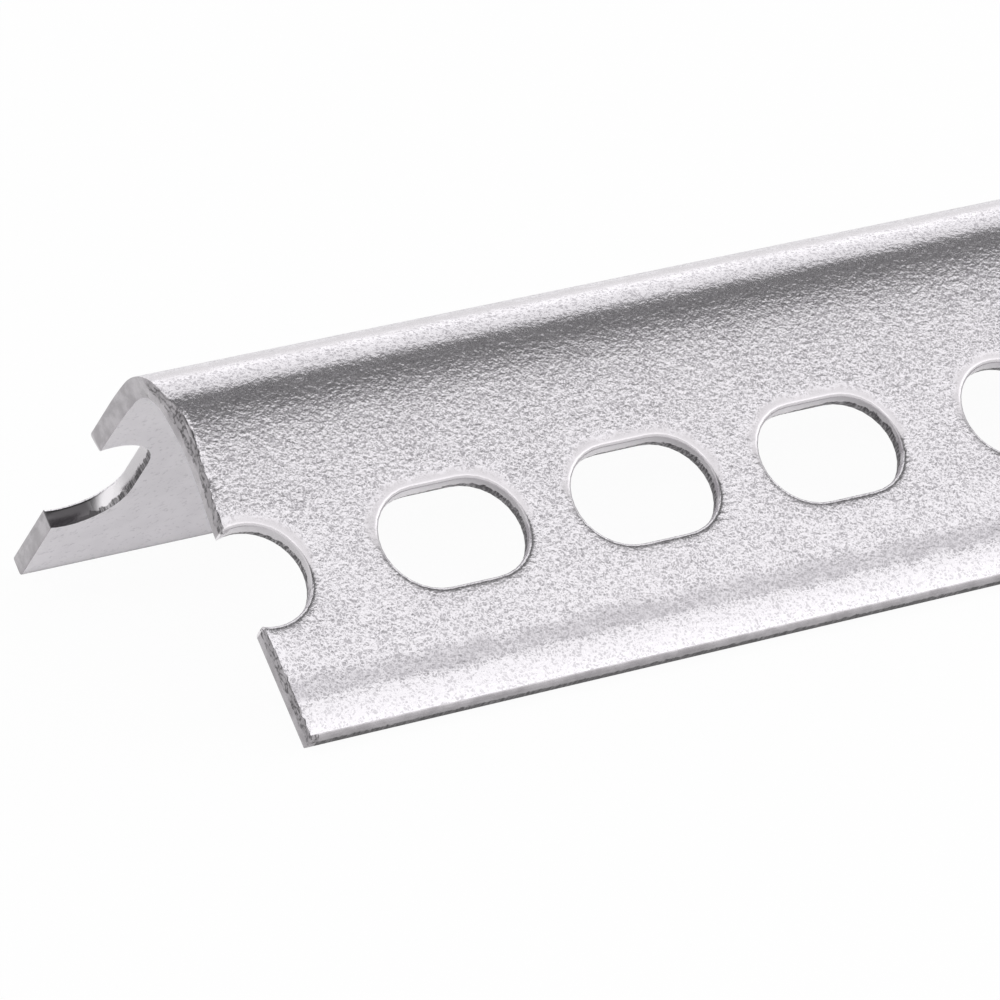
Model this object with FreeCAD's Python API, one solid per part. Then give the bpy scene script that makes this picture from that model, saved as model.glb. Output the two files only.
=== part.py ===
"""Slotted angle: one length of zinc-coated steel angle, bent from punched strip.

The length lies on the floor as a ridge: both free edges are down and the bend is on top.
X runs along the length, Y across it and Z up. The origin is the middle of the footprint.
Both legs are punched at one pitch. The front leg has a round hole and then three slots
along its length, over and over. The back leg has slots that lie crosswise. The stock is
sheared to length across holes, so each end shows a part of one in each leg.
"""
import FreeCAD, Part
import math
import os

# All sizes are in millimetres.
stock_length = 914.4
leg_width = 38.1
thickness = 1.9
bend_outside_radius = 6.4
free_edge_round = 0.35

# Next to the bend each leg eases into its flat over a few degrees of a wide curve.
shoulder_outside_radius = 40.0
shoulder_turn_deg = 6

hole_pitch = 19.05
holes_per_repeat = 4
round_hole_diameter = 9.53
slot_width = 9.53
slot_length = 14.1
first_hole_from_end = 1.5

# The strip was bent a little off the middle between its two rows of holes.
front_hole_line_from_heel = 22.7
back_hole_line_from_heel = 22.1

# A slot's half-round ends are made of this many flats each, which keeps 85 slots light.
slot_end_flats = 14

# The legs stand at a right angle, so in the ridge each one leans at half of that.
leg_lean = math.radians(45)
punch_overrun = 1.0

# The front leg leans towards -Y and the back leg towards +Y.
FRONT = -1
BACK = 1

# A rounded free edge doesn't reach quite as far down as a sharp corner would.
corner_reach = leg_width + thickness - (2 - math.sqrt(2)) * free_edge_round
heel_height = corner_reach * math.cos(leg_lean)

# The shoulder's centre is square to where the leg's flat starts, and the bend's centre is
# equally far from both legs.
shoulder_turn = math.radians(shoulder_turn_deg)
centre_gap = shoulder_outside_radius - bend_outside_radius
bend_centre_depth = shoulder_outside_radius - centre_gap * math.cos(shoulder_turn)
flat_start = bend_centre_depth + centre_gap * math.sin(shoulder_turn)


def on_leg(side, x, down, inward):
    """A point of a leg: x along the stock, down from the heel along the outer face,
    and inward from that face."""
    y = side * (down * math.sin(leg_lean) - inward * math.cos(leg_lean))
    z = heel_height - down * math.cos(leg_lean) - inward * math.sin(leg_lean)
    return FreeCAD.Vector(x, y, z)


def inward_of(side):
    """The direction from a leg's outer face to its inner face."""
    return on_leg(side, 0, 0, 1) - on_leg(side, 0, 0, 0)


def arc_about(side, x, down, inward, radius, start_deg, end_deg):
    """An arc in the section plane, with its angles measured from the leg's direction
    towards its inner side."""
    points = []
    for angle in (start_deg, (start_deg + end_deg) / 2, end_deg):
        turn = math.radians(angle)
        points.append(
            on_leg(side, x, down + radius * math.cos(turn), inward + radius * math.sin(turn))
        )
    return Part.Arc(*points).toShape()


def straight(start, end):
    """A straight edge between two points."""
    return Part.makeLine(start, end)


def bend_line(x, depth):
    """One surface of the bend with the shoulders on both sides of it, at a depth below the
    outer surface."""
    wide = shoulder_outside_radius
    turn = shoulder_turn_deg
    middle = bend_centre_depth
    tight_radius = bend_outside_radius - depth
    arcs = [arc_about(FRONT, x, middle, middle, tight_radius, 180 + turn, 270 - turn)]
    for side in (FRONT, BACK):
        arcs.append(arc_about(side, x, flat_start, wide, wide - depth, 270 - turn, 270))
    return arcs


def section(x):
    """The section of the stock as a closed wire: two flat legs, the bend between them
    and small rounds on the corners of both free edges."""
    edge = free_edge_round
    edges = bend_line(x, 0) + bend_line(x, thickness)
    for side in (FRONT, BACK):
        edges.append(
            straight(
                on_leg(side, x, flat_start, 0),
                on_leg(side, x, leg_width - edge, 0),
            )
        )
        edges.append(arc_about(side, x, leg_width - edge, edge, edge, -90, 0))
        edges.append(
            straight(
                on_leg(side, x, leg_width, edge),
                on_leg(side, x, leg_width, thickness - edge),
            )
        )
        edges.append(arc_about(side, x, leg_width - edge, thickness - edge, edge, 0, 90))
        edges.append(
            straight(
                on_leg(side, x, leg_width - edge, thickness),
                on_leg(side, x, flat_start, thickness),
            )
        )
    return Part.Wire(Part.__sortEdges__(edges))


def rolled_angle():
    """The bare angle, before it is punched."""
    start = -stock_length / 2
    return Part.Face(section(start)).extrude(FreeCAD.Vector(stock_length, 0, 0))


def hole_places():
    """Each hole's place along X. The row runs on past the far end until a hole no longer
    touches the stock."""
    places = []
    x = -stock_length / 2 + first_hole_from_end
    while x - slot_length / 2 < stock_length / 2:
        places.append(x)
        x = x + hole_pitch
    return places


def hole_line(side):
    """How far down a leg's row of holes is from the heel."""
    return front_hole_line_from_heel if side == FRONT else back_hole_line_from_heel


def through_leg(side, outline):
    """A punch with the given closed outline, which lies outside a leg's outer face. It
    goes through the leg with some overrun on both faces."""
    depth = thickness + 2 * punch_overrun
    return Part.Face(outline).extrude(inward_of(side) * depth)


def round_punch(side, x):
    """The punch for a round hole."""
    centre = on_leg(side, x, hole_line(side), -punch_overrun)
    circle = Part.makeCircle(round_hole_diameter / 2, centre, inward_of(side))
    return through_leg(side, Part.Wire(circle))


def slot_punch(side, x, crosswise):
    """The punch for a slot: straight flanks and two half-round ends made of flats. It lies
    along the stock or crosswise to it."""
    radius = slot_width / 2
    reach = (slot_length - slot_width) / 2
    outline = []
    for end in (-1, 1):
        for corner in range(slot_end_flats + 1):
            turn = end * (math.pi * corner / slot_end_flats - math.pi / 2)
            lengthwise = end * (reach + radius * math.cos(turn))
            sideways = radius * math.sin(turn)
            along, down = (sideways, lengthwise) if crosswise else (lengthwise, sideways)
            outline.append(on_leg(side, x + along, hole_line(side) + down, -punch_overrun))
    outline.append(outline[0])
    return through_leg(side, Part.makePolygon(outline))


def punches(side):
    """All the punches of one leg."""
    tools = []
    for number, x in enumerate(hole_places()):
        if side == FRONT and number % holes_per_repeat == 0:
            tools.append(round_punch(side, x))
        else:
            tools.append(slot_punch(side, x, crosswise=side == BACK))
    return tools


def slotted_angle():
    """The whole piece: the rolled angle with both legs punched."""
    angle = rolled_angle()
    for side in (FRONT, BACK):
        angle = angle.cut(punches(side))
    return angle.Solids[0]


os.makedirs("parts", exist_ok=True)
piece = slotted_angle()
piece.exportStep("parts/slotted_angle.step")
print("slotted_angle", piece.isValid(), round(piece.Volume), piece.BoundBox)
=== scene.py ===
"""Slotted angle: the finish of one length of zinc-plated, punched steel angle.

The stock is built the way it is made: a strip with punched holes, bent along its middle,
patterned one pitch at a time and sheared to length.
"""
import math

import bmesh
import bpy
from bpy.props import FloatProperty, FloatVectorProperty, IntProperty, PointerProperty
from mathutils import Matrix, Vector, noise


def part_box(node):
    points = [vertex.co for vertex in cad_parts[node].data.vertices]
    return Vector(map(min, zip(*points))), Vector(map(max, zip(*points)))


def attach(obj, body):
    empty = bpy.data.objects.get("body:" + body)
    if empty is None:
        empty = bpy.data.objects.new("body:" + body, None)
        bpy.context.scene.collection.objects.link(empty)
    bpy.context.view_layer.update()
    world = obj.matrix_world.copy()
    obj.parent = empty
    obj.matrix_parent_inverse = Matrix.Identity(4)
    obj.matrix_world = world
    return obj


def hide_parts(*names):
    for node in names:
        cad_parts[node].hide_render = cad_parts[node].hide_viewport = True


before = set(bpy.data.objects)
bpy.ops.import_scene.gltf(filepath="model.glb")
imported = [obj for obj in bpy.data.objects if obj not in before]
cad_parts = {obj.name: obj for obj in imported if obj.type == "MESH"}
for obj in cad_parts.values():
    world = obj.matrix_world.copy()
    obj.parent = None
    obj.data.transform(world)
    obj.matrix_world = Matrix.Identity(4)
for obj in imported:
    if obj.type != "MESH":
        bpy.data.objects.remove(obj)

bl_info = {
    "name": "Slotted Angle Stock",
    "version": (1, 0, 0),
    "blender": (4, 5, 0),
    "location": "View3D > Sidebar > Slotted Angle",
    "description": "Builds a length of punched, zinc-plated steel angle and a studio for it",
    "category": "Add Mesh",
}

NODE = "slotted_angle"
CAD_LOW, CAD_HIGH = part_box(NODE)

MM = 0.001
LEAN = math.radians(45)
FRONT = -1
BACK = 1

FACE_FINISH = "bright_zinc_faces"
CUT_FINISH = "sheared_edges"

# Steps of the mesh. A hole's rim has STEPS points, as many as the edge of its patch.
STEPS = 40
PATCH_ACROSS_STEPS = 8
PATCH_ALONG_STEPS = STEPS // 2 - PATCH_ACROSS_STEPS
FLANK_STEPS = 4
BEND_STEPS = 6
SHOULDER_STEPS = 2
ROLL_STEPS = 4
EDGE_STEPS = 3
ABOVE_STEPS = 2
BELOW_STEPS = 3

# Where the end faces are divided: down from the heel, up from the free edge, and as shares
# of the thickness.
END_CUTS = 90
FIRST_END_CUT = 0.3 * MM
LAST_END_CUT = 0.1 * MM
END_DEPTHS = (0.03, 0.08, 0.3, 0.5, 0.7, 0.92, 0.97)
END_PART = 10 * MM
MERGE_DISTANCE = 0.002 * MM
SHARP_ANGLE = math.radians(40)

# Rings of face round a hole: how many roll widths from its rim, and at what share of the
# tail's depth.
TAIL_RINGS = ((2.6, 0), (1.6, 1 / 3))
INNER_RING = 2.2

# Marks of the shear. Breaks have a width as a share of the thickness and a drop as a share
# of the lip. Places and reaches are down a leg from the heel.
INNER_BREAK, INNER_DROP = 0.08, 0.5
OUTER_BREAK, OUTER_DROP = 0.06, 0.7
TORN_SHARE = 0.55
TORN_DROP = 0.9
TORN_WANDER = 1.5
BACK_LEAN_REACH = 24 * MM
FRONT_LEAN_REACH = 8 * MM
DRAG_PLACE = 10.5 * MM
DRAG_REACH = 8 * MM
TEAR_PLACE = 8 * MM
TEAR_REACH = 4 * MM
SOUND_BEND = 6 * MM
WANDER_SCALE = 1400
FINE_WANDER_SCALE = 4100


class SlottedAngleSizes(bpy.types.PropertyGroup):
    """Sizes of the stock, its holes and what the punch and shear leave on them."""

    length: FloatProperty(
        name="Length", description="Length of the stock", subtype="DISTANCE", unit="LENGTH",
        default=CAD_HIGH[0] - CAD_LOW[0],
    )
    leg_width: FloatProperty(
        name="Leg width", description="Outside width of each leg", subtype="DISTANCE",
        unit="LENGTH", default=38.1 * MM,
    )
    thickness: FloatProperty(
        name="Thickness", description="Thickness of the plated strip", subtype="DISTANCE",
        unit="LENGTH", default=1.9 * MM,
    )
    bend_radius: FloatProperty(
        name="Bend radius", description="Outside radius of the bend", subtype="DISTANCE",
        unit="LENGTH", default=6.4 * MM,
    )
    shoulder_radius: FloatProperty(
        name="Shoulder radius", description="Outside radius where a leg eases into the bend",
        subtype="DISTANCE", unit="LENGTH", default=40 * MM,
    )
    shoulder_turn: FloatProperty(
        name="Shoulder turn", description="How far the shoulder turns", subtype="ANGLE",
        unit="ROTATION", default=math.radians(6),
    )
    edge_round: FloatProperty(
        name="Edge round", description="Radius on the corners of the free edges",
        subtype="DISTANCE", unit="LENGTH", default=0.35 * MM,
    )
    pitch: FloatProperty(
        name="Hole pitch", description="Distance between hole centres", subtype="DISTANCE",
        unit="LENGTH", default=19.05 * MM,
    )
    repeat: IntProperty(
        name="Holes in a repeat", description="One round hole and then slots", default=4, min=1,
    )
    first_hole: FloatProperty(
        name="First hole", description="From the near end to the first hole's centre",
        subtype="DISTANCE", unit="LENGTH", default=1.5 * MM,
    )
    front_line: FloatProperty(
        name="Front hole line", description="From the heel to the front leg's row of holes",
        subtype="DISTANCE", unit="LENGTH", default=22.7 * MM,
    )
    back_line: FloatProperty(
        name="Back hole line", description="From the heel to the back leg's row of holes",
        subtype="DISTANCE", unit="LENGTH", default=22.1 * MM,
    )
    round_diameter: FloatProperty(
        name="Round hole", description="Diameter of the round holes", subtype="DISTANCE",
        unit="LENGTH", default=9.53 * MM,
    )
    slot_width: FloatProperty(
        name="Slot width", description="Width of the slots", subtype="DISTANCE",
        unit="LENGTH", default=9.53 * MM,
    )
    slot_length: FloatProperty(
        name="Slot length", description="End to end length of the slots", subtype="DISTANCE",
        unit="LENGTH", default=14.1 * MM,
    )
    roll_width: FloatProperty(
        name="Die roll width", description="How far the punch drew the face round each rim",
        subtype="DISTANCE", unit="LENGTH", default=0.42 * MM,
    )
    roll_depth: FloatProperty(
        name="Die roll depth", description="How deep the rounded rim reaches into the hole",
        subtype="DISTANCE", unit="LENGTH", default=0.3 * MM,
    )
    roll_tail: FloatProperty(
        name="Die roll tail", description="How deep the face already lies beside the roll",
        subtype="DISTANCE", unit="LENGTH", default=0.022 * MM,
    )
    breakout: FloatProperty(
        name="Breakout", description="How much wider a hole is where its slug broke away",
        subtype="DISTANCE", unit="LENGTH", default=0.13 * MM,
    )
    front_burnish: FloatProperty(
        name="Front burnish", description="Share of the front leg's thickness cut smoothly",
        subtype="FACTOR", default=0.58, min=0.2, max=0.9,
    )
    back_burnish: FloatProperty(
        name="Back burnish", description="Share of the back leg's thickness cut smoothly",
        subtype="FACTOR", default=0.24, min=0.2, max=0.9,
    )
    shear_lip: FloatProperty(
        name="Shear lip", description="Width of the small break round each sheared end",
        subtype="DISTANCE", unit="LENGTH", default=0.12 * MM,
    )
    shear_drag: FloatProperty(
        name="Shear drag", description="How deep the shear dragged the front leg's ends",
        subtype="DISTANCE", unit="LENGTH", default=0.5 * MM,
    )
    shear_lean: FloatProperty(
        name="Shear lean", description="How far the inner arris is behind near the bend",
        subtype="DISTANCE", unit="LENGTH", default=0.4 * MM,
    )
    # Along this line the outer zinc gets a band of painted shade, and below it a painted
    # highlight.
    roll_line: FloatProperty(
        name="Roll line", description="From the heel to the mark of the forming rolls",
        subtype="DISTANCE", unit="LENGTH", default=33.7 * MM,
    )
    patch_margin: FloatProperty(
        name="Patch margin", description="How far the mesh patch reaches past a hole",
        subtype="DISTANCE", unit="LENGTH", default=2.0 * MM,
    )


class SlottedAngleFinish(bpy.types.PropertyGroup):
    """Colours and texture sizes of the plated steel and of the studio."""

    zinc: FloatVectorProperty(
        name="Zinc", description="Colour of the bright lines between the zinc's cells",
        subtype="COLOR", size=3, default=(0.86, 0.835, 0.87), min=0, max=1,
    )
    cells: FloatVectorProperty(
        name="Cells", description="Colour of the greyer cells of the zinc",
        subtype="COLOR", size=3, default=(0.53, 0.51, 0.54), min=0, max=1,
    )
    halo: FloatVectorProperty(
        name="Halo", description="Colour of the smooth zinc round the holes",
        subtype="COLOR", size=3, default=(0.68, 0.655, 0.68), min=0, max=1,
    )
    inside: FloatVectorProperty(
        name="Inside", description="Colour of the smooth zinc on the inner faces",
        subtype="COLOR", size=3, default=(0.87, 0.85, 0.875), min=0, max=1,
    )
    burnished: FloatVectorProperty(
        name="Burnished", description="Colour of the hole walls where the punch rubbed",
        subtype="COLOR", size=3, default=(0.92, 0.895, 0.92), min=0, max=1,
    )
    sheared: FloatVectorProperty(
        name="Sheared steel", description="Colour of the plated ends and free edges",
        subtype="COLOR", size=3, default=(0.405, 0.387, 0.403), min=0, max=1,
    )
    # Partly the dull colour of torn steel and partly painted shade: in the torn zone's hollows,
    # on free edges and on smooth walls.
    torn: FloatVectorProperty(
        name="Torn steel", description="Colour in the hollows of the torn zone",
        subtype="COLOR", size=3, default=(0.1, 0.095, 0.1), min=0, max=1,
    )
    grain: FloatProperty(
        name="Grain", description="Size of the zinc's cells", subtype="DISTANCE",
        unit="LENGTH", default=0.57 * MM,
    )
    relief: FloatProperty(
        name="Relief", description="Height of the zinc's fine relief", subtype="DISTANCE",
        unit="LENGTH", default=0.024 * MM,
    )
    floor: FloatVectorProperty(
        name="Floor", description="Colour of the studio floor", subtype="COLOR", size=3,
        default=(1.0, 1.0, 1.0), min=0, max=1,
    )


def sizes():
    return bpy.context.scene.slotted_angle_sizes


def finish():
    return bpy.context.scene.slotted_angle_finish


# Places in the section of the stock

def heel_height():
    """Height of the sharp outer corner that the two outer faces would meet in."""
    size = sizes()
    corner_loss = (2 - math.sqrt(2)) * size.edge_round
    return (size.leg_width + size.thickness - corner_loss) * math.cos(LEAN)


def on_leg(side, x, down, inward):
    """A point of a leg: x along the stock, down from the heel along the outer face, and
    inward from that face."""
    y = side * (down * math.sin(LEAN) - inward * math.cos(LEAN))
    z = heel_height() - down * math.cos(LEAN) - inward * math.sin(LEAN)
    return Vector((x, y, z))


def in_leg(side, point):
    """The reverse of on_leg: how far down and inward a point lies on a leg."""
    drop = heel_height() - point.z
    out = side * point.y
    down = drop * math.cos(LEAN) + out * math.sin(LEAN)
    inward = drop * math.sin(LEAN) - out * math.cos(LEAN)
    return down, inward


def hole_line(side):
    size = sizes()
    return size.front_line if side == FRONT else size.back_line


def bend_centre():
    """How far the bend's centre lies below both outer faces, and where along a leg its
    flat starts. The shoulder's centre is square to that place."""
    size = sizes()
    gap = size.shoulder_radius - size.bend_radius
    middle = size.shoulder_radius - gap * math.cos(size.shoulder_turn)
    return middle, middle + gap * math.sin(size.shoulder_turn)


def depth_at(point):
    """How far below the outer surface a point lies, in the legs and round the bend."""
    size = sizes()
    side = FRONT if point.y < 0 else BACK
    down, inward = in_leg(side, point)
    middle, flat_start = bend_centre()
    if down >= flat_start:
        return inward
    wide = size.shoulder_radius
    if math.atan2(flat_start - down, wide - inward) < size.shoulder_turn:
        return wide - math.hypot(flat_start - down, wide - inward)
    return size.bend_radius - math.hypot(middle - down, middle - inward)


# One pitch of stock as a mesh

class Sheet:
    """Collects rows of points as strips of quads. Cut strips are sheared or torn metal."""

    def __init__(self):
        self.bm = bmesh.new()

    def add_rows(self, rows, closed=False, cut=False):
        made = [[self.bm.verts.new(point) for point in row] for row in rows]
        for first, second in zip(made, made[1:]):
            count = len(first)
            for index in range(count if closed else count - 1):
                after = (index + 1) % count
                face = self.bm.faces.new(
                    (first[index], first[after], second[after], second[index])
                )
                face.material_index = int(cut)

    def to_object(self, name):
        bmesh.ops.remove_doubles(self.bm, verts=self.bm.verts, dist=MERGE_DISTANCE)
        mesh = bpy.data.meshes.new(name)
        self.bm.to_mesh(mesh)
        self.bm.free()
        store_cut_faces(mesh)
        item = bpy.data.objects.new(name, mesh)
        bpy.context.scene.collection.objects.link(item)
        return item


def store_cut_faces(mesh):
    """Keeps which faces are cut metal in an attribute that the pattern can select by."""
    cut = mesh.attributes.new("cut", "BOOLEAN", "FACE")
    cut.data.foreach_set("value", [face.material_index == 1 for face in mesh.polygons])


def columns():
    """Places along one pitch where the strips of the sheet are divided."""
    pitch = sizes().pitch
    return [pitch * (step / PATCH_ALONG_STEPS - 0.5) for step in range(PATCH_ALONG_STEPS + 1)]


def row_across(side, down, inward):
    return [on_leg(side, x, down, inward) for x in columns()]


class Hole:
    """A punched hole: its leg, its size along and down that leg, and its outlines."""

    def __init__(self, side, along, down):
        self.side = side
        self.crosswise = down > along
        self.length = max(along, down)
        self.width = min(along, down)
        self.reach = down / 2 + sizes().patch_margin

    def outline(self, grow):
        """The outline from the middle of its lower side, grown outwards: two half rounds
        and, in a slot, two straight flanks."""
        radius = self.width / 2 + grow
        half = (self.length - self.width) / 2
        flank = FLANK_STEPS if half > 0 else 0
        arc = STEPS // 2 - flank
        points = []
        for end in (1, -1):
            for step in range(arc):
                turn = math.pi * (step / arc - 0.5)
                x = end * (half + radius * math.cos(turn))
                points.append((x, end * radius * math.sin(turn)))
            for step in range(flank):
                points.append((end * half * (1 - 2 * step / flank), end * radius))
        start = len(points) - flank // 2
        if self.crosswise:
            points = [(-y, x) for x, y in points]
            start -= STEPS // 4
        return points[start:] + points[:start]

    def patch_edge(self):
        """The edge of the patch of face round the hole, from the middle of its lower
        side."""
        half = sizes().pitch / 2
        reach = self.reach
        along = PATCH_ALONG_STEPS // 2
        points = [(half * step / along, -reach) for step in range(along)]
        for step in range(PATCH_ACROSS_STEPS):
            points.append((half, reach * (2 * step / PATCH_ACROSS_STEPS - 1)))
        for step in range(PATCH_ALONG_STEPS):
            points.append((half * (1 - step / along), reach))
        for step in range(PATCH_ACROSS_STEPS):
            points.append((-half, reach * (1 - 2 * step / PATCH_ACROSS_STEPS)))
        for step in range(along):
            points.append((half * (step / along - 1), -reach))
        return points

    def ring(self, points, inward):
        line = hole_line(self.side)
        return [on_leg(self.side, x, line + y, inward) for x, y in points]

    def rim(self, grow, inward):
        return self.ring(self.outline(grow), inward)


def rolled_face(hole):
    """Rings of the face from the patch's edge to the hole's wall, drawn down round the
    rim."""
    size = sizes()
    tail = size.roll_tail
    rings = [hole.ring(hole.patch_edge(), 0)]
    for reach, share in TAIL_RINGS:
        rings.append(hole.rim(reach * size.roll_width, share * tail))
    for turn in between(0, math.pi / 2, ROLL_STEPS):
        drop = tail + (size.roll_depth - tail) * (1 - math.cos(turn))
        rings.append(hole.rim(size.roll_width * (1 - math.sin(turn)), drop))
    return rings


def hole_wall(hole, first):
    """Rings of the wall that the punch cut, from the given one: smooth at first, and wider
    where the slug broke away. Each has a share of the thickness and of the breakout."""
    size = sizes()
    smooth = size.front_burnish if hole.side == FRONT else size.back_burnish
    shares = ((smooth, 0), (0.8 * smooth + 0.2, 0.15), (0.97, 1), (1, 1.25))
    rims = [hole.rim(grow * size.breakout, share * size.thickness) for share, grow in shares]
    return [first, *rims]


def punched_hole(sheet, hole):
    """The patch round one hole: its face, its wall and the inner face."""
    size = sizes()
    face = rolled_face(hole)
    sheet.add_rows(face, closed=True)
    wall = hole_wall(hole, face[-1])
    sheet.add_rows(wall, closed=True, cut=True)
    inner = hole.rim(INNER_RING * size.roll_width, size.thickness)
    edge = hole.ring(hole.patch_edge(), size.thickness)
    sheet.add_rows([wall[-1], inner, edge], closed=True)


def between(low, high, parts):
    return [low + (high - low) * step / parts for step in range(parts + 1)]


def bend_rows(side, depth):
    """Rows from the top of the bend over the shoulder to where the leg is flat."""
    size = sizes()
    middle, flat_start = bend_centre()
    tight = size.bend_radius - depth
    wide = size.shoulder_radius - depth
    rows = []
    for turn in between(LEAN, size.shoulder_turn, BEND_STEPS):
        down = middle - tight * math.sin(turn)
        rows.append(row_across(side, down, middle - tight * math.cos(turn)))
    for turn in between(size.shoulder_turn, 0, SHOULDER_STEPS)[1:]:
        down = flat_start - wide * math.sin(turn)
        rows.append(row_across(side, down, size.shoulder_radius - wide * math.cos(turn)))
    return rows


def leg(sheet, hole):
    """One pitch of one leg, from the middle of the bend round the free edge and back."""
    size = sizes()
    far = size.thickness
    edge = size.edge_round
    side = hole.side
    line = hole_line(side)
    above = between(bend_centre()[1], line - hole.reach, ABOVE_STEPS)
    below = between(line + hole.reach, size.leg_width - edge, BELOW_STEPS)
    for depth in (0, far):
        sheet.add_rows(bend_rows(side, depth))
        sheet.add_rows([row_across(side, down, depth) for down in above])
        sheet.add_rows([row_across(side, down, depth) for down in below])
    free = []
    for centre, start in ((edge, -math.pi / 2), (far - edge, 0)):
        for turn in between(start, start + math.pi / 2, EDGE_STEPS):
            down = size.leg_width - edge + edge * math.cos(turn)
            free.append(row_across(side, down, centre + edge * math.sin(turn)))
    sheet.add_rows(free, cut=True)
    punched_hole(sheet, hole)


def one_pitch(name, front_length, front_width):
    """One pitch of the angle, centred on its two holes: the front leg's and a slot that
    lies crosswise in the back leg."""
    size = sizes()
    sheet = Sheet()
    leg(sheet, Hole(FRONT, front_length, front_width))
    leg(sheet, Hole(BACK, size.slot_width, size.slot_length))
    return sheet.to_object(name)


# The pattern along the stock

PATTERN_INPUTS = {
    "Round hole": "Object",
    "Slot": "Object",
    "Count": "Int",
    "Repeat": "Int",
    "First": "Vector",
    "Step": "Vector",
    "Face finish": "Material",
    "Cut finish": "Material",
}


def add_input(tree, name, kind):
    socket = tree.interface.new_socket(name, in_out="INPUT", socket_type="NodeSocket" + kind)
    return socket.identifier


def stock_pattern():
    """A node tree that sets pitches of stock end to end, a round one first in every
    repeat, and gives the faces their finishes. Returns it with its inputs' identifiers."""
    tree = bpy.data.node_groups.new("Pitches of stock end to end", "GeometryNodeTree")
    tree.interface.new_socket("Geometry", in_out="OUTPUT", socket_type="NodeSocketGeometry")
    names = {name: add_input(tree, name, kind) for name, kind in PATTERN_INPUTS.items()}
    nodes = tree.nodes
    link = tree.links.new
    given = nodes.new("NodeGroupInput")
    line = nodes.new("GeometryNodeMeshLine")
    link(given.outputs["Count"], line.inputs["Count"])
    link(given.outputs["First"], line.inputs["Start Location"])
    link(given.outputs["Step"], line.inputs["Offset"])
    place = nodes.new("ShaderNodeMath")
    place.operation = "MODULO"
    link(nodes.new("GeometryNodeInputIndex").outputs[0], place.inputs[0])
    link(given.outputs["Repeat"], place.inputs[1])
    join = nodes.new("GeometryNodeJoinGeometry")
    for name, comparison in (("Round hole", "LESS_THAN"), ("Slot", "GREATER_THAN")):
        chosen = nodes.new("ShaderNodeMath")
        chosen.operation = comparison
        link(place.outputs[0], chosen.inputs[0])
        chosen.inputs[1].default_value = 0.5
        source = nodes.new("GeometryNodeObjectInfo")
        link(given.outputs[name], source.inputs["Object"])
        copies = nodes.new("GeometryNodeInstanceOnPoints")
        link(line.outputs["Mesh"], copies.inputs["Points"])
        link(chosen.outputs[0], copies.inputs["Selection"])
        link(source.outputs["Geometry"], copies.inputs["Instance"])
        link(copies.outputs["Instances"], join.inputs["Geometry"])
    real = nodes.new("GeometryNodeRealizeInstances")
    merge = nodes.new("GeometryNodeMergeByDistance")
    merge.inputs["Distance"].default_value = MERGE_DISTANCE
    faces = nodes.new("GeometryNodeSetMaterial")
    link(given.outputs["Face finish"], faces.inputs["Material"])
    stored = nodes.new("GeometryNodeInputNamedAttribute")
    stored.data_type = "BOOLEAN"
    stored.inputs["Name"].default_value = "cut"
    cuts = nodes.new("GeometryNodeSetMaterial")
    link(stored.outputs["Attribute"], cuts.inputs["Selection"])
    link(given.outputs["Cut finish"], cuts.inputs["Material"])
    chain = (join, real, merge, faces, cuts, nodes.new("NodeGroupOutput"))
    for node, after in zip(chain, chain[1:]):
        link(node.outputs["Geometry"], after.inputs["Geometry"])
    return tree, names


def hole_count():
    """How many pitches it takes to reach past the far end."""
    size = sizes()
    return math.ceil((size.length - size.first_hole) / size.pitch) + 1


def pattern_stock(face_finish, cut_finish):
    """The whole punched angle, a little longer than the stock at both ends."""
    size = sizes()
    tiles = {
        "Round hole": one_pitch("pitch_round", size.round_diameter, size.round_diameter),
        "Slot": one_pitch("pitch_slot", size.slot_length, size.slot_width),
    }
    host = bpy.data.objects.new("stock_host", bpy.data.meshes.new("stock_host"))
    bpy.context.scene.collection.objects.link(host)
    tree, names = stock_pattern()
    modifier = host.modifiers.new("Pitches", "NODES")
    modifier.node_group = tree
    values = {
        "Count": hole_count(),
        "Repeat": size.repeat,
        "First": (CAD_LOW[0] + size.first_hole, 0.0, 0.0),
        "Step": (size.pitch, 0.0, 0.0),
        "Face finish": face_finish,
        "Cut finish": cut_finish,
        **tiles,
    }
    for name, value in values.items():
        modifier[names[name]] = value
    bpy.context.view_layer.update()
    graph = bpy.context.evaluated_depsgraph_get()
    mesh = bpy.data.meshes.new_from_object(host.evaluated_get(graph))
    mesh.materials.pop(index=0)
    host.modifiers.clear()
    for spare in (host, *tiles.values()):
        bpy.data.objects.remove(spare)
    return mesh


# Cutting to length

def cut_plane(bm, geom, point, normal, clear=False):
    """Divides geometry along a plane and returns what lies on it."""
    return bmesh.ops.bisect_plane(
        bm, geom=geom, dist=1e-8, plane_co=point, plane_no=normal, clear_outer=clear,
    )


def divided(bm, faces, point, normal):
    """Divides flat faces along a plane and returns the faces that they then are."""
    verts = {vert for face in faces for vert in face.verts}
    edges = {edge for face in faces for edge in face.edges}
    parts = cut_plane(bm, [*verts, *edges, *faces], point, normal)["geom"]
    return [part for part in parts if isinstance(part, bmesh.types.BMFace)]


def divide_end(bm, x, faces):
    """Divides a flat end finely enough to carry the marks of the shear."""
    size = sizes()
    faces = divided(bm, faces, (x, 0, 0), (0, 1, 0))
    downs = between(FIRST_END_CUT, size.leg_width - LAST_END_CUT, END_CUTS)
    depths = [size.thickness * share for share in END_DEPTHS]
    done = []
    for side in (FRONT, BACK):
        along = on_leg(side, x, 1, 0) - on_leg(side, x, 0, 0)
        across = on_leg(side, x, 0, 1) - on_leg(side, x, 0, 0)
        planes = [(on_leg(side, x, down, 0), along) for down in downs]
        planes += [(on_leg(side, x, 0, inward), across) for inward in depths]
        half = [face for face in faces if face.calc_center_median().y * side > 0]
        for point, normal in planes:
            half = divided(bm, half, point, normal)
        done += half
    return done


def hump(value, centre, reach):
    """A smooth hump, 1 at its centre and 0 beyond its reach."""
    return max(0, 1 - ((value - centre) / reach) ** 2) ** 2


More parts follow.
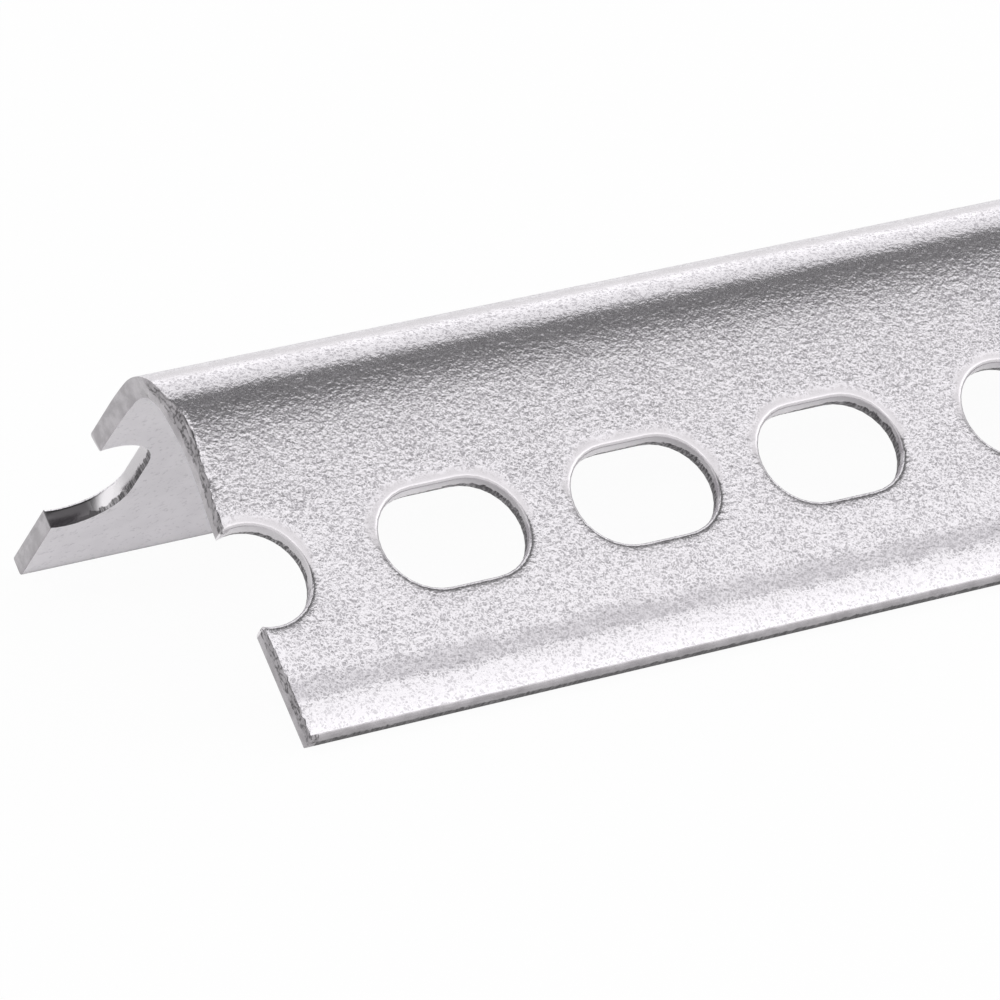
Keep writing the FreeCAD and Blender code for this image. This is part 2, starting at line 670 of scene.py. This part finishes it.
def shear_mark(point):
    """How far the shear left a point of an end face behind its flat part. Both legs have a
    small break at their arrises, and the back leg also leans near the bend."""
    size = sizes()
    depth = depth_at(point) / size.thickness
    side = BACK if point.y > 0 else FRONT
    down, _ = in_leg(side, point)
    inner = max(0, 1 - (1 - depth) / INNER_BREAK)
    outer = max(0, 1 - depth / OUTER_BREAK)
    mark = size.shear_lip * (INNER_DROP * inner ** 2 + OUTER_DROP * outer ** 2)
    if side == BACK:
        return mark + size.shear_lean * depth * hump(down, 0, BACK_LEAN_REACH)
    return mark + front_shear_mark(point, depth, down)


def front_shear_mark(point, depth, down):
    """The front leg's own marks: a torn zone that deepens towards the outer arris, a hollow
    where the blade dragged it, and a short lean near the bend."""
    size = sizes()
    torn = max(0, 1 - depth / TORN_SHARE)
    wander = noise.noise(point * WANDER_SCALE) + 0.5 * noise.noise(point * FINE_WANDER_SCALE)
    drag = hump(down, DRAG_PLACE, DRAG_REACH) + torn * hump(down, TEAR_PLACE, TEAR_REACH)
    tears = size.shear_lip * torn * (TORN_DROP + TORN_WANDER * wander)
    lean = size.shear_lean * depth * hump(down, 0, FRONT_LEAN_REACH)
    return lean + min(1, down / SOUND_BEND) * (size.shear_drag * drag + tears)


def shear_end(bm, x, outward, cut_index):
    """Cuts the stock square at x and closes it with an end face that shows the shear."""
    everything = bm.verts[:] + bm.edges[:] + bm.faces[:]
    cut_plane(bm, everything, (x, 0, 0), (outward, 0, 0), clear=True)
    rim = [
        edge for edge in bm.edges
        if edge.is_boundary and all(abs(vert.co.x - x) < 1e-6 for vert in edge.verts)
    ]
    for vert in {vert for edge in rim for vert in edge.verts}:
        vert.co.x = x
    filled = bmesh.ops.triangle_fill(bm, edges=rim, use_beauty=True)["geom"]
    faces = [part for part in filled if isinstance(part, bmesh.types.BMFace)]
    for face in faces:
        face.material_index = cut_index
    faces = divide_end(bm, x, faces)
    for vert in {vert for face in faces for vert in face.verts}:
        vert.co.x -= outward * max(0, shear_mark(vert.co))


def hole_place(point):
    """Where a point lies by its leg's nearest hole: along the stock from the hole's middle,
    and how far the hole's edge is."""
    size = sizes()
    side = FRONT if point.y < 0 else BACK
    down, _ = in_leg(side, point)
    place = (point.x - CAD_LOW[0] - size.first_hole) / size.pitch
    number = round(place)
    along = (place - number) * size.pitch
    across = down - hole_line(side)
    if side == FRONT and number % size.repeat == 0:
        return along, math.hypot(along, across) - size.round_diameter / 2
    reach = (size.slot_length - size.slot_width) / 2
    long, short = (along, across) if side == FRONT else (across, along)
    return along, math.hypot(max(0, abs(long) - reach), short) - size.slot_width / 2


def store_distances(mesh):
    """Gives the finishes four distances in millimetres: how far down its leg a point is,
    how deep below the outer face, how far along from its hole and how far from its edge."""
    spots = [vert.co for vert in mesh.vertices]
    places = [hole_place(spot) for spot in spots]
    values = {
        "down": [in_leg(FRONT if spot.y < 0 else BACK, spot)[0] for spot in spots],
        "depth": map(depth_at, spots),
        "along": [along for along, _ in places],
        "rim": [rim for _, rim in places],
    }
    for name, distances in values.items():
        stored = mesh.attributes.new(name, "FLOAT", "POINT")
        stored.data.foreach_set("value", [distance / MM for distance in distances])


def part_between(mesh, low, high):
    """The faces of a mesh whose centres lie between two places along the stock."""
    bm = bmesh.new()
    bm.from_mesh(mesh)
    others = [face for face in bm.faces if not low < face.calc_center_median().x < high]
    bmesh.ops.delete(bm, geom=others, context="FACES")
    return bm


def cut_to_length(mesh):
    """Shears both ends in small parts of the mesh and joins them to the rest."""
    near, far = CAD_LOW[0], CAD_HIGH[0]
    limits = (
        (-math.inf, near + END_PART, -1),
        (near + END_PART, far - END_PART, 0),
        (far - END_PART, math.inf, 1),
    )
    cut_index = mesh.materials.find(CUT_FINISH)
    whole = bmesh.new()
    for low, high, outward in limits:
        part = part_between(mesh, low, high)
        if outward:
            shear_end(part, near if outward < 0 else far, outward, cut_index)
        kept = bpy.data.meshes.new("part")
        part.to_mesh(kept)
        part.free()
        whole.from_mesh(kept)
        bpy.data.meshes.remove(kept)
    bmesh.ops.remove_doubles(whole, verts=whole.verts, dist=MERGE_DISTANCE / 4)
    bmesh.ops.recalc_face_normals(whole, faces=whole.faces)
    whole.to_mesh(mesh)
    whole.free()
    mesh.attributes.remove(mesh.attributes["cut"])
    store_distances(mesh)
    mesh.shade_smooth()
    mesh.set_sharp_from_angle(angle=SHARP_ANGLE)


# Finishes

# Where the finish changes, in millimetres: by depth, by distance from a hole's rim, and at
# the bend by distance down from the heel.
INNER_DEPTH = (0.8, 1.2)
HALO_EDGE = (1.2, 2.2)
BEND_TOP_EDGE = (2.8, 4.0)
BEND_HAZE_EDGE = (3.0, 7.0)
BEND_RELIEF_EDGE = (5.5, 10.0)

# How much such edges wander, how far above the holes' line their smooth zones start to
# narrow, and by how much in each millimetre.
EDGE_WANDER = 1.6
NARROWING_START = 2.0
NARROWING = 0.25

# The band of painted shade along the rolls' line and the painted highlight below it, in
# millimetres down from the roll line.
ROLL_SHADE_ABOVE = (-1.9, -0.3)
ROLL_SHADE_BELOW = (1.5, 0.5)
ROLL_HIGHLIGHT = (0.6, 2.0)

# What clouds, the painted shade on the rolls' line and the painted highlight below it add to
# the outer brightness.
CLOUD_SHARE = 0.2
ROLL_SHADE_SHARE = -0.6
ROLL_HIGHLIGHT_SHARE = 0.3

# The relief of the smooth zones and beside the bend against that of the texture, and how
# much of it the inner faces lack.
SMOOTH_RELIEF = 0.2
BEND_RELIEF = 1.45
INNER_FLATNESS = 0.9

# Roughness of the cells and lines, and what the inner faces and the bend's top add to it.
CELL_ROUGHNESS = 0.26
LINE_ROUGHNESS = 0.2
INNER_ROUGHNESS = 0.12
BEND_ROUGHNESS = 0.07

# How far in from the ends the marks of the shear reach, and, in millimetres, how near to a
# rim the wall of a hole is.
END_REACH = (0.9 * MM, 0.75 * MM)
WALL_EDGE = (0.3, 0.18)

# Where cut metal tears, as a depth in millimetres plus noise, and what moves that on ends,
# free edges, the back leg and walls, and on walls for each millimetre along from a hole.
TORN_DEPTH = (1.58, 1.72)
END_SHIFT = 0.23
# On free edges the torn zone reaches further from the inner face, so its dark colour partly
# paints the shade of the underside that they reflect.
EDGE_SHIFT = 0.33
BACK_SHIFT = -0.4
WALL_SHIFT = -0.17
ASIDE_SHIFT = 0.07

# Painted shade on smooth walls, for the dark inside of the angle that they reflect, in
# millimetres down from the back leg's line and, for the last, along from a front hole.
DEEP_WALL_SHADE = (5.6, 6.5)
SLIGHT_WALL_SHADE = (4.4, 2.0)
SLIGHT_WALL_SHADE_SHARE = 0.35
SIDE_WALL_SHADE = (-2.0, 6.0)
SIDE_WALL_SHADE_SHARE = 0.45

MOTTLE_SHARE = 0.45
SCORE_HEIGHT = 0.02 * MM


class Nodes:
    """A node tree, and the kinds of node that the finishes and the studio are made of."""

    def __init__(self, tree):
        self.tree = tree
        tree.nodes.clear()

    def new(self, kind, given=None, **settings):
        """A node with its settings, and with outputs or values given to its inputs."""
        node = self.tree.nodes.new(kind)
        for name, value in settings.items():
            setattr(node, name, value)
        for name, value in (given or {}).items():
            self.give(node.inputs[name], value)
        return node

    def give(self, inlet, value):
        """Gives an input another node's output, or a value of its own."""
        if isinstance(value, bpy.types.NodeSocket):
            self.tree.links.new(value, inlet)
        else:
            inlet.default_value = value

    def math(self, operation, values):
        """One operation over outputs and numbers, from the first to the last."""
        result = values[0]
        for value in values[1:]:
            node = self.new("ShaderNodeMath", operation=operation)
            self.give(node.inputs[0], result)
            self.give(node.inputs[1], value)
            result = node.outputs[0]
        return result

    def plus(self, *values):
        return self.math("ADD", values)

    def minus(self, first, second):
        return self.math("SUBTRACT", (first, second))

    def times(self, *values):
        return self.math("MULTIPLY", values)

    def largest(self, *values):
        return self.math("MAXIMUM", values)

    def unsigned(self, value):
        return self.math("ABSOLUTE", (value, 0.0))

    def ramp(self, source, low, high, start=0.0, stop=1.0, smooth=True):
        """Turns a value between low and high into one between start and stop, clamped."""
        shape = "SMOOTHSTEP" if smooth else "LINEAR"
        given = {
            "Value": source, "From Min": low, "From Max": high, "To Min": start, "To Max": stop,
        }
        node = self.new("ShaderNodeMapRange", given, interpolation_type=shape)
        return node.outputs["Result"]

    def blend(self, share, first, second):
        """Mixes two colours, each three numbers or an output, by the second's share."""
        node = self.new("ShaderNodeMix", data_type="RGBA")
        self.give(node.inputs["Factor"], share)
        inlets = [item for item in node.inputs if item.type == "RGBA"]
        for inlet, colour in zip(inlets, (first, second)):
            linked = isinstance(colour, bpy.types.NodeSocket)
            self.give(inlet, colour if linked else (*colour, 1))
        return next(item for item in node.outputs if item.type == "RGBA")

    def mix_shaders(self, share, first, second):
        node = self.new("ShaderNodeMixShader")
        for inlet, value in zip(node.inputs, (share, first, second)):
            self.give(inlet, value)
        return node.outputs[0]


class MetalFinish(Nodes):
    """A new metal material. Its patterns follow Object coordinates and stored distances."""

    def __init__(self, name):
        self.material = bpy.data.materials.new(name)
        self.material.use_nodes = True
        super().__init__(self.material.node_tree)
        self.shader = self.new("ShaderNodeBsdfPrincipled", {"Metallic": 1.0})
        self.new("ShaderNodeOutputMaterial", {"Surface": self.shader.outputs["BSDF"]})

    def set(self, name, value):
        self.give(self.shader.inputs[name], value)

    def place(self):
        return self.new("ShaderNodeTexCoord").outputs["Object"]

    def axis(self, name):
        """One Object coordinate."""
        return self.new("ShaderNodeSeparateXYZ", {"Vector": self.place()}).outputs[name]

    def stored(self, name):
        """A distance that the mesh stores, in millimetres."""
        return self.new("ShaderNodeAttribute", attribute_name=name).outputs["Fac"]

    def sheet_place(self, down_scale, depth_scale):
        """A point as X, down the leg and through it, with the last two scaled."""
        place = {
            "X": self.axis("X"),
            "Y": self.times(self.stored("down"), down_scale * MM),
            "Z": self.times(self.stored("depth"), depth_scale * MM),
        }
        return self.new("ShaderNodeCombineXYZ", place).outputs[0]

    def noise(self, size, detail, roughness=0.5, place=None):
        """Noise with features of about the given size."""
        vector = self.place() if place is None else place
        given = {"Vector": vector, "Scale": 1 / size, "Detail": detail, "Roughness": roughness}
        return self.new("ShaderNodeTexNoise", given).outputs["Fac"]

    def clouds(self, size, detail, roughness=0.5):
        """Soft clouds between 0 and 1."""
        return self.ramp(self.noise(size, detail, roughness), 0.35, 0.65)

    def net(self, size, place=None):
        """Thin wandering lines round cells: 1 on a line and 0 inside a cell."""
        off_line = self.unsigned(self.minus(self.noise(size, detail=1.5, place=place), 0.5))
        return self.ramp(off_line, 0.1, 0.01)

    def raise_surface(self, height, distance, strength=1.0):
        given = {"Height": height, "Distance": distance, "Strength": strength}
        self.set("Normal", self.new("ShaderNodeBump", given).outputs["Normal"])


def roll_line_shade(zinc):
    """1 along the soft line that the forming rolls left on each leg, which the outer zinc shows
    as painted shade.
    """
    line = sizes().roll_line / MM
    wander = zinc.times(zinc.minus(zinc.noise(2.5 * MM, detail=3.0), 0.5), EDGE_WANDER)
    down = zinc.plus(zinc.stored("down"), wander)
    above, below = (
        zinc.ramp(down, line + start, line + stop) for start, stop in (ROLL_SHADE_ABOVE, ROLL_SHADE_BELOW)
    )
    return zinc.times(above, below)


def textured_zone(zinc):
    """1 where the outer zinc has its texture, and 0 on top of the bend and close round the
    holes, above them more than below."""
    wander = zinc.times(zinc.noise(1.5 * MM, detail=3.0), EDGE_WANDER)
    low = zinc.minus(zinc.stored("down"), sizes().front_line / MM - NARROWING_START)
    narrowing = zinc.times(zinc.largest(low, 0.0), NARROWING)
    off_holes = zinc.ramp(zinc.plus(zinc.stored("rim"), wander, narrowing), *HALO_EDGE)
    off_bend = zinc.ramp(zinc.plus(zinc.stored("down"), wander), *BEND_TOP_EDGE)
    return zinc.times(off_holes, off_bend)


def outer_colour(zinc, lines, cloud, textured):
    """Bright lines round grey cells, with painted shade on the rolls' line, a painted highlight
    below it, and an even grey outside the texture."""
    look = finish()
    line = sizes().roll_line / MM
    start, stop = ROLL_HIGHLIGHT
    # The painted highlight below the rolls' line.
    beyond = zinc.ramp(zinc.stored("down"), line + start, line + stop)
    bright = zinc.plus(
        lines,
        zinc.times(cloud, CLOUD_SHARE),
        zinc.times(roll_line_shade(zinc), ROLL_SHADE_SHARE),
        zinc.times(beyond, ROLL_HIGHLIGHT_SHARE),
    )
    bright = zinc.ramp(bright, 0.0, 1.0, smooth=False)
    return zinc.blend(textured, look.halo, zinc.blend(bright, look.cells, look.zinc))


def inner_colour(zinc, cloud):
    """Smooth zinc with faint specks and fainter clouds."""
    look = finish()
    grains = zinc.noise(look.grain * 0.9, detail=2.0, roughness=0.7)
    specks = zinc.ramp(grains, 0.56, 0.7, start=0.0, stop=0.42)
    clouds = zinc.ramp(cloud, 0.0, 1.0, start=0.0, stop=0.1)
    return zinc.blend(zinc.plus(specks, clouds), look.inside, look.cells)


def zinc_relief(zinc, textured, inner):
    """Height of the texture: stronger beside the bend, and faint in the smooth zones and
    on the inner faces."""
    grain = finish().grain
    fine = zinc.times(zinc.noise(grain / 3, detail=1.0), 0.5)
    relief = zinc.plus(zinc.noise(grain * 0.8, detail=1.0), fine)
    outer = zinc.minus(1.0, zinc.times(inner, INNER_FLATNESS))
    zone = zinc.ramp(textured, 0.0, 1.0, start=SMOOTH_RELIEF)
    beside_bend = zinc.ramp(zinc.stored("down"), *BEND_RELIEF_EDGE, start=BEND_RELIEF)
    return zinc.times(relief, zone, outer, beside_bend)


def zinc_face_finish():
    """Bright zinc on the rolled faces: a net of bright lines round grey cells outside, and
    smooth inside."""
    look = finish()
    zinc = MetalFinish(FACE_FINISH)
    lines = zinc.largest(zinc.net(look.grain), zinc.net(look.grain * 0.6))
    cloud = zinc.clouds(3 * MM, detail=3.0)
    inner = zinc.ramp(zinc.stored("depth"), *INNER_DEPTH)
    textured = textured_zone(zinc)
    outside = outer_colour(zinc, lines, cloud, textured)
    zinc.set("Base Color", zinc.blend(inner, outside, inner_colour(zinc, cloud)))
    rough = zinc.plus(
        zinc.ramp(lines, 0.0, 1.0, CELL_ROUGHNESS, LINE_ROUGHNESS, smooth=False),
        zinc.times(inner, INNER_ROUGHNESS),
        zinc.ramp(zinc.stored("down"), *BEND_HAZE_EDGE, start=BEND_ROUGHNESS, stop=0.0),
    )
    zinc.set("Roughness", rough)
    zinc.raise_surface(zinc_relief(zinc, textured, inner), look.relief)
    return zinc.material


def torn_zone(cut, end, back, wall):
    """1 where the metal tore. The punch entered from the outer face and the shear from the
    inner one, so an end counts its depth the other way round. The shear left the back leg's
    ends almost wholly smooth. On free edges it reaches further from the inner face, partly as
    painted shade of the dark underside that they reflect."""
    depth = cut.stored("depth")
    reverse = cut.minus(sizes().thickness / MM, cut.times(depth, 2.0))
    edge = cut.minus(1.0, cut.largest(wall, end))
    entered = cut.plus(
        depth,
        cut.times(reverse, end),
        cut.noise(0.6 * MM, detail=3.0, roughness=0.6),
        cut.times(end, END_SHIFT),
        cut.times(edge, EDGE_SHIFT),
        cut.times(back, BACK_SHIFT),
        cut.times(wall, WALL_SHIFT),
        cut.times(cut.stored("along"), wall, ASIDE_SHIFT),
    )
    smooth_end = cut.times(end, back, 0.9)
    return cut.times(cut.ramp(entered, *TORN_DEPTH), cut.minus(1.0, smooth_end))


def torn_shade(cut, torn, end, streaks):
    """How dark torn metal is: in streaks through the sheet, darkest in their hollows as painted
    shade, and on ends only in tears.
    """
    tears = cut.net(0.4 * MM, place=cut.sheet_place(0.35, 1.0))
    pale = cut.times(end, cut.ramp(tears, 0.0, 1.0, start=0.85, stop=0.1))
    return cut.times(torn, cut.minus(1.0, pale), cut.ramp(streaks, 0.68, 0.4, start=0.4))


def wall_painted_shade(cut, back):
    """Painted shade on smooth walls, for the dark inside of the angle that they reflect: deep
    at the bottom of the back leg's slots and slight in the rest of them, and slight towards the
    far side of the front leg's holes."""
    low = cut.minus(cut.stored("down"), sizes().back_line / MM)
    deep = cut.ramp(low, *DEEP_WALL_SHADE)
    slight = cut.ramp(low, *SLIGHT_WALL_SHADE, stop=SLIGHT_WALL_SHADE_SHARE)
    side = cut.ramp(cut.stored("along"), *SIDE_WALL_SHADE, stop=SIDE_WALL_SHADE_SHARE, smooth=False)
    on_back = cut.times(cut.largest(deep, slight), back)
    return cut.plus(on_back, cut.times(side, cut.minus(1.0, back)))


def sheared_finish():
    """Plated steel where it was cut, on ends, hole walls and free edges: smooth where the blade
    entered and torn beyond, with painted shade on the smooth walls."""
    look = finish()
    half = sizes().length / 2
    cut = MetalFinish(CUT_FINISH)
    end = cut.ramp(cut.unsigned(cut.axis("X")), *(half - reach for reach in END_REACH))
    back = cut.ramp(cut.axis("Y"), -0.5 * MM, 0.5 * MM)
    wall = cut.ramp(cut.stored("rim"), *WALL_EDGE)
    streaks = cut.noise(0.16 * MM, detail=2.0, place=cut.sheet_place(1.0, 0.12))
    torn = torn_zone(cut, end, back, wall)
    mottle = cut.times(cut.clouds(1.8 * MM, detail=4.0, roughness=0.6), MOTTLE_SHARE)
    plain_cut = cut.blend(mottle, look.sheared, look.halo)
    # Smooth walls blend towards the torn colour as painted shade.
    smooth_wall = cut.blend(wall_painted_shade(cut, back), look.burnished, look.torn)
    untorn = cut.blend(wall, plain_cut, smooth_wall)
    shade = torn_shade(cut, torn, end, streaks)
    cut.set("Base Color", cut.blend(shade, untorn, look.torn))
    cut.set("Roughness", cut.ramp(torn, 0.0, 1.0, start=0.2, stop=0.45))
    scored = cut.plus(cut.times(wall, 0.5), torn)
    cut.raise_surface(cut.times(streaks, scored), SCORE_HEIGHT, strength=0.6)
    return cut.material


# Operators

class SLOTTEDANGLE_OT_stock(bpy.types.Operator):
    """Builds the length of punched angle with its finishes"""

    bl_idname = "slotted_angle.stock"
    bl_label = "Slotted Angle Stock"

    def execute(self, context):
        mesh = pattern_stock(zinc_face_finish(), sheared_finish())
        cut_to_length(mesh)
        mesh.name = "angle_stock"
        piece = bpy.data.objects.new("angle_stock", mesh)
        context.scene.collection.objects.link(piece)
        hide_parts(NODE)
        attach(piece, "root")
        return {"FINISHED"}


# The studio

FLOOR_WIDTH = 30
WHITE = (1, 1, 1, 1)

# How much of the floor is plain white to the camera and in reflections.
SEEN_WHITE = 0.95
MIRRORED_WHITE = 0.35

# The room's light near the horizon and overhead, and the heights between which it changes,
# as the upward part of a direction.
ROOM_HEIGHTS = (0.35, 0.75)
ROOM_LIGHT = (0.95, 0.12)

# Soft strip lamps along the stock: tilt from straight above towards the back, distance,
# width and radiance.
LAMP_LENGTH = 1.8
STRIP_LAMPS = {
    "strip_front": (math.radians(-39.5), 0.55, 0.42, 1.02),
    "strip_back": (math.radians(33), 0.7, 0.65, 0.85),
}

CAMERA_PLACE = Vector((-0.72745, -0.52125, 0.21916))
CAMERA_AIM = Vector((-0.43138, -0.01468, 0.01346))
CAMERA_ROLL = math.radians(-1.475)
CAMERA_LENS = 262.85
SENSOR_WIDTH = 36


def shown_white(nodes, lit):
    """Mixes a lit shader with plain white, mostly for the camera and less for reflections."""
    path = nodes.new("ShaderNodeLightPath")
    seen = nodes.times(path.outputs["Is Camera Ray"], SEEN_WHITE)
    mirrored = nodes.times(path.outputs["Is Glossy Ray"], MIRRORED_WHITE)
    white = nodes.new("ShaderNodeEmission").outputs[0]
    return nodes.mix_shaders(nodes.largest(seen, mirrored), lit, white)


def studio_floor():
    """A wide white floor that keeps a trace of the shadow."""
    bpy.ops.mesh.primitive_plane_add(size=FLOOR_WIDTH)
    floor = bpy.context.object
    floor.name = "studio_floor"
    material = bpy.data.materials.new("studio_floor")
    material.use_nodes = True
    nodes = Nodes(material.node_tree)
    diffuse = nodes.new("ShaderNodeBsdfDiffuse", {"Color": (*finish().floor, 1)})
    shown = shown_white(nodes, diffuse.outputs[0])
    nodes.new("ShaderNodeOutputMaterial", {"Surface": shown})
    floor.data.materials.append(material)


def strip_lamp(name, tilt, distance, width, radiance):
    """A soft strip lamp along the stock, longer than it, that the camera doesn't see."""
    data = bpy.data.lights.new(name, "AREA")
    data.shape = "RECTANGLE"
    data.size = LAMP_LENGTH
    data.size_y = width
    data.energy = radiance * math.pi * LAMP_LENGTH * width
    lamp = bpy.data.objects.new(name, data)
    lamp.location = (0, distance * math.sin(tilt), distance * math.cos(tilt))
    lamp.rotation_euler = (-tilt, 0, 0)
    lamp.visible_camera = False
    bpy.context.scene.collection.objects.link(lamp)


def studio_world():
    """White towards the horizon and dim overhead, and plain white to the camera."""
    world = bpy.data.worlds.new("studio_world")
    bpy.context.scene.world = world
    world.use_nodes = True
    nodes = Nodes(world.node_tree)
    direction = nodes.new("ShaderNodeTexCoord").outputs["Generated"]
    up = nodes.new("ShaderNodeSeparateXYZ", {"Vector": direction}).outputs["Z"]
    level = nodes.ramp(up, *ROOM_HEIGHTS, *ROOM_LIGHT)
    room = nodes.new("ShaderNodeBackground", {"Color": WHITE, "Strength": level})
    white = nodes.new("ShaderNodeBackground", {"Color": WHITE})
    seen = nodes.new("ShaderNodeLightPath").outputs["Is Camera Ray"]
    mixed = nodes.mix_shaders(seen, room.outputs[0], white.outputs[0])
    nodes.new("ShaderNodeOutputWorld", {"Surface": mixed})


def studio_camera():
    """A long lens from the near end's side, looking down on the front leg."""
    data = bpy.data.cameras.new("studio_camera")
    data.sensor_width = SENSOR_WIDTH
    data.lens = CAMERA_LENS
    data.clip_start = 0.01
    camera = bpy.data.objects.new("studio_camera", data)
    turn = (CAMERA_AIM - CAMERA_PLACE).to_track_quat("-Z", "Y").to_matrix().to_4x4()
    roll = Matrix.Rotation(CAMERA_ROLL, 4, "Z")
    camera.matrix_world = Matrix.Translation(CAMERA_PLACE) @ turn @ roll
    bpy.context.scene.collection.objects.link(camera)
    bpy.context.scene.camera = camera


class SLOTTEDANGLE_OT_stage(bpy.types.Operator):
    """Sets up the floor, the soft lamps and the camera"""

    bl_idname = "slotted_angle.stage"
    bl_label = "Studio Stage"

    def execute(self, context):
        studio_world()
        studio_floor()
        for name, values in STRIP_LAMPS.items():
            strip_lamp(name, *values)
        studio_camera()
        context.scene.view_settings.view_transform = "Standard"
        return {"FINISHED"}


class SLOTTEDANGLE_PT_panel(bpy.types.Panel):
    """Lists the operators, sizes and finishes"""

    bl_idname = "SLOTTEDANGLE_PT_panel"
    bl_label = "Slotted Angle"
    bl_space_type = "VIEW_3D"
    bl_region_type = "UI"
    bl_category = "Slotted Angle"

    def draw(self, context):
        layout = self.layout
        for operator in OPERATORS:
            layout.operator(operator.bl_idname)
        for group in (sizes(), finish()):
            column = layout.column()
            for name in group.__annotations__:
                column.prop(group, name)


OPERATORS = (SLOTTEDANGLE_OT_stock, SLOTTEDANGLE_OT_stage)
CLASSES = (SlottedAngleSizes, SlottedAngleFinish, *OPERATORS, SLOTTEDANGLE_PT_panel)


def register():
    for item in CLASSES:
        bpy.utils.register_class(item)
    bpy.types.Scene.slotted_angle_sizes = PointerProperty(type=SlottedAngleSizes)
    bpy.types.Scene.slotted_angle_finish = PointerProperty(type=SlottedAngleFinish)


def unregister():
    del bpy.types.Scene.slotted_angle_finish
    del bpy.types.Scene.slotted_angle_sizes
    for item in reversed(CLASSES):
        bpy.utils.unregister_class(item)


def main():
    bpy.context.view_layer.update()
    register()
    bpy.ops.slotted_angle.stock()
    bpy.ops.slotted_angle.stage()


if __name__ == "__main__":
    main()
